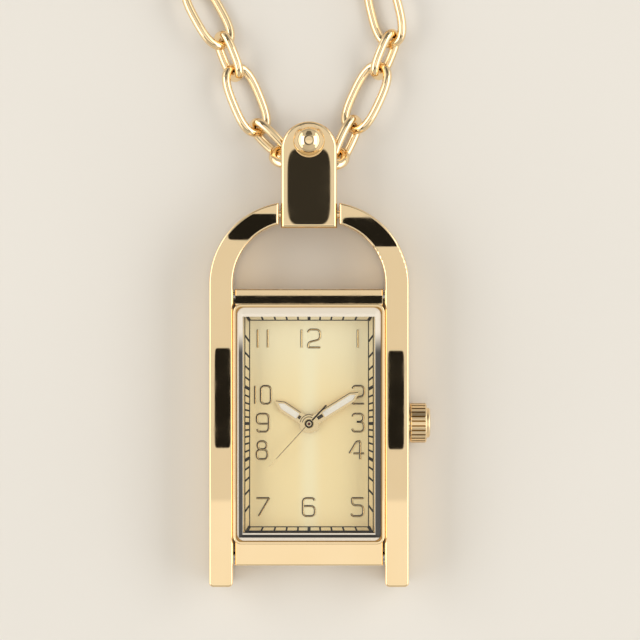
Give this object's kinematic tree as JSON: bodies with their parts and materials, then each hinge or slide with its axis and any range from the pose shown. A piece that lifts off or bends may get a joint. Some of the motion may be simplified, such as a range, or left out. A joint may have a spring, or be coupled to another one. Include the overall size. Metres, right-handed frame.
{
  "type": "pendant watch",
  "caption": "Rectangular quartz watch held between the rails of an arched frame, hung by a hinged bail on a chain of long and short oval links.",
  "frame": {"origin": "the hands' axis at the case back's rest face", "axes": "+Z out of the dial, +Y to twelve o'clock and the chain, +X to the crown"},
  "size_m": [0.0584, 0.1245, 0.0077],
  "materials": {
    "polished_gold": "polished gold plate",
    "steel": "turned steel",
    "movement_brass": "satin brass",
    "crystal_glass": "polished mineral glass",
    "dial_lacquer": "sunray brushed and lacquered",
    "lume": "matt luminous paint",
    "gasket_rubber": "matt rubber",
    "holder_plastic": "moulded",
    "rotor_plastic": "moulded round a magnet",
    "coil_copper": "enamelled copper wire",
    "board_green": "solder mask"
  },
  "bodies": {
    "chain": {"chain_centre_link": "polished_gold", "long_links": "polished_gold", "short_links": "polished_gold", "stored_long_links": "polished_gold", "stored_short_links": "polished_gold", "clasp_body": "polished_gold", "clasp_pin": "polished_gold"},
    "clasp_trigger": {"clasp_trigger": "polished_gold"},
    "bail": {"bail_plate": "polished_gold", "bail_strap": "polished_gold", "ball_stud": "polished_gold"},
    "watch": {"left_stirrup_arm": "polished_gold", "right_stirrup_arm": "polished_gold", "rail_dowels": "steel", "case_body": "polished_gold", "case_back": "polished_gold", "case_back_gasket": "gasket_rubber", "back_screws": "polished_gold", "bezel": "polished_gold", "crystal_gasket": "gasket_rubber", "crystal": "crystal_glass", "case_tube": "polished_gold", "hinge_pin": "polished_gold", "dial": "dial_lacquer", "movement_holder": "holder_plastic", "main_plate": "movement_brass", "train_bridge": "movement_brass", "bridge_screws": "steel", "battery": "steel", "battery_clamp": "steel", "coil": "coil_copper", "stator": "steel", "circuit_board": "board_green", "quartz_can": "steel"},
    "crown_slide": {"crown_gasket": "gasket_rubber"},
    "crown": {"crown": "polished_gold", "stem": "steel", "sliding_pinion": "steel"},
    "setting_lever": {"setting_lever": "steel"},
    "minute": {"minute_hand": "polished_gold", "minute_lume": "lume", "cannon_pinion": "movement_brass"},
    "hour": {"hour_hand": "polished_gold", "hour_lume": "lume", "hour_wheel": "movement_brass"},
    "minute_wheel": {"minute_wheel": "movement_brass"},
    "setting_wheel": {"setting_wheel": "movement_brass"},
    "seconds": {"seconds_hand": "polished_gold", "seconds_wheel": "movement_brass"},
    "intermediate_wheel": {"intermediate_wheel": "movement_brass"},
    "rotor": {"rotor": "rotor_plastic"},
    "third_wheel": {"third_wheel": "movement_brass"},
    "centre_wheel": {"centre_wheel": "movement_brass"}
  },
  "joints": [
    {"name": "trigger_open", "type": "hinge", "parent": "chain", "child": "clasp_trigger", "pos_m": [-0.0019, 0.07582, 0.00135], "axis": [0, 0, 1], "range_deg": [-10, 0], "stiffness_Nm_per_rad": 0.002, "springref_deg": 8.59},
    {"name": "bail_swing", "type": "hinge", "parent": "chain", "child": "bail", "pos_m": [-0.00012, 0.02584, 0.00365], "axis": [0.999, -0.0449, 0], "range_deg": [-10, 35]},
    {"name": "watch_swing", "type": "hinge", "parent": "bail", "child": "watch", "pos_m": [0, 0.021, 0.00365], "axis": [1, 0, 0], "range_deg": [-120, 90]},
    {"name": "crown_pull", "type": "slide", "parent": "watch", "child": "crown_slide", "axis": [1, 0, 0], "range_m": [0, 0.0006]},
    {"name": "crown_turn", "type": "hinge", "parent": "crown_slide", "child": "crown", "pos_m": [0.0102, 0, 0.0022], "axis": [1, 0, 0], "continuous": true},
    {"name": "lever_turn", "type": "hinge", "parent": "watch", "child": "setting_lever", "pos_m": [0.0054, 0.0015, 0.0022], "axis": [0, 0, 1], "range_deg": [-1, 30]},
    {"name": "minute_turn", "type": "hinge", "parent": "watch", "child": "minute", "pos_m": [0, 0, 0.004], "axis": [0, 0, 1], "continuous": true},
    {"name": "hour_turn", "type": "hinge", "parent": "watch", "child": "hour", "pos_m": [0, 0, 0.004], "axis": [0, 0, 1], "continuous": true},
    {"name": "minute_wheel_turn", "type": "hinge", "parent": "watch", "child": "minute_wheel", "pos_m": [0.00215, -0.00114, 0.004], "axis": [0, 0, 1], "continuous": true},
    {"name": "setting_wheel_turn", "type": "hinge", "parent": "watch", "child": "setting_wheel", "pos_m": [0.00487, -0.00056, 0.004], "axis": [0, 0, 1], "continuous": true},
    {"name": "seconds_turn", "type": "hinge", "parent": "watch", "child": "seconds", "pos_m": [0, 0, 0.004], "axis": [0, 0, 1], "continuous": true},
    {"name": "intermediate_turn", "type": "hinge", "parent": "watch", "child": "intermediate_wheel", "pos_m": [0.00128, 0.00221, 0.004], "axis": [0, 0, 1], "continuous": true},
    {"name": "rotor_turn", "type": "hinge", "parent": "watch", "child": "rotor", "pos_m": [0.00326, 0.00313, 0.004], "axis": [0, 0, 1], "continuous": true},
    {"name": "third_turn", "type": "hinge", "parent": "watch", "child": "third_wheel", "pos_m": [-0.00243, 0.00219, 0.004], "axis": [0, 0, 1], "continuous": true},
    {"name": "centre_wheel_turn", "type": "hinge", "parent": "watch", "child": "centre_wheel", "pos_m": [0, 0, 0.004], "axis": [0, 0, 1], "continuous": true}
  ],
  "couplings": [
    {"joint": "lever_turn", "follows": "crown_pull", "rad_per_m": 838},
    {"joint": "hour_turn", "follows": "minute_turn", "ratio": 0.083333},
    {"joint": "minute_wheel_turn", "follows": "minute_turn", "ratio": -0.33333},
    {"joint": "setting_wheel_turn", "follows": "minute_turn", "ratio": 0.625},
    {"joint": "intermediate_turn", "follows": "seconds_turn", "ratio": -6},
    {"joint": "rotor_turn", "follows": "seconds_turn", "ratio": 30},
    {"joint": "third_turn", "follows": "seconds_turn", "ratio": -0.125},
    {"joint": "centre_wheel_turn", "follows": "seconds_turn", "ratio": 0.016667}
  ]
}
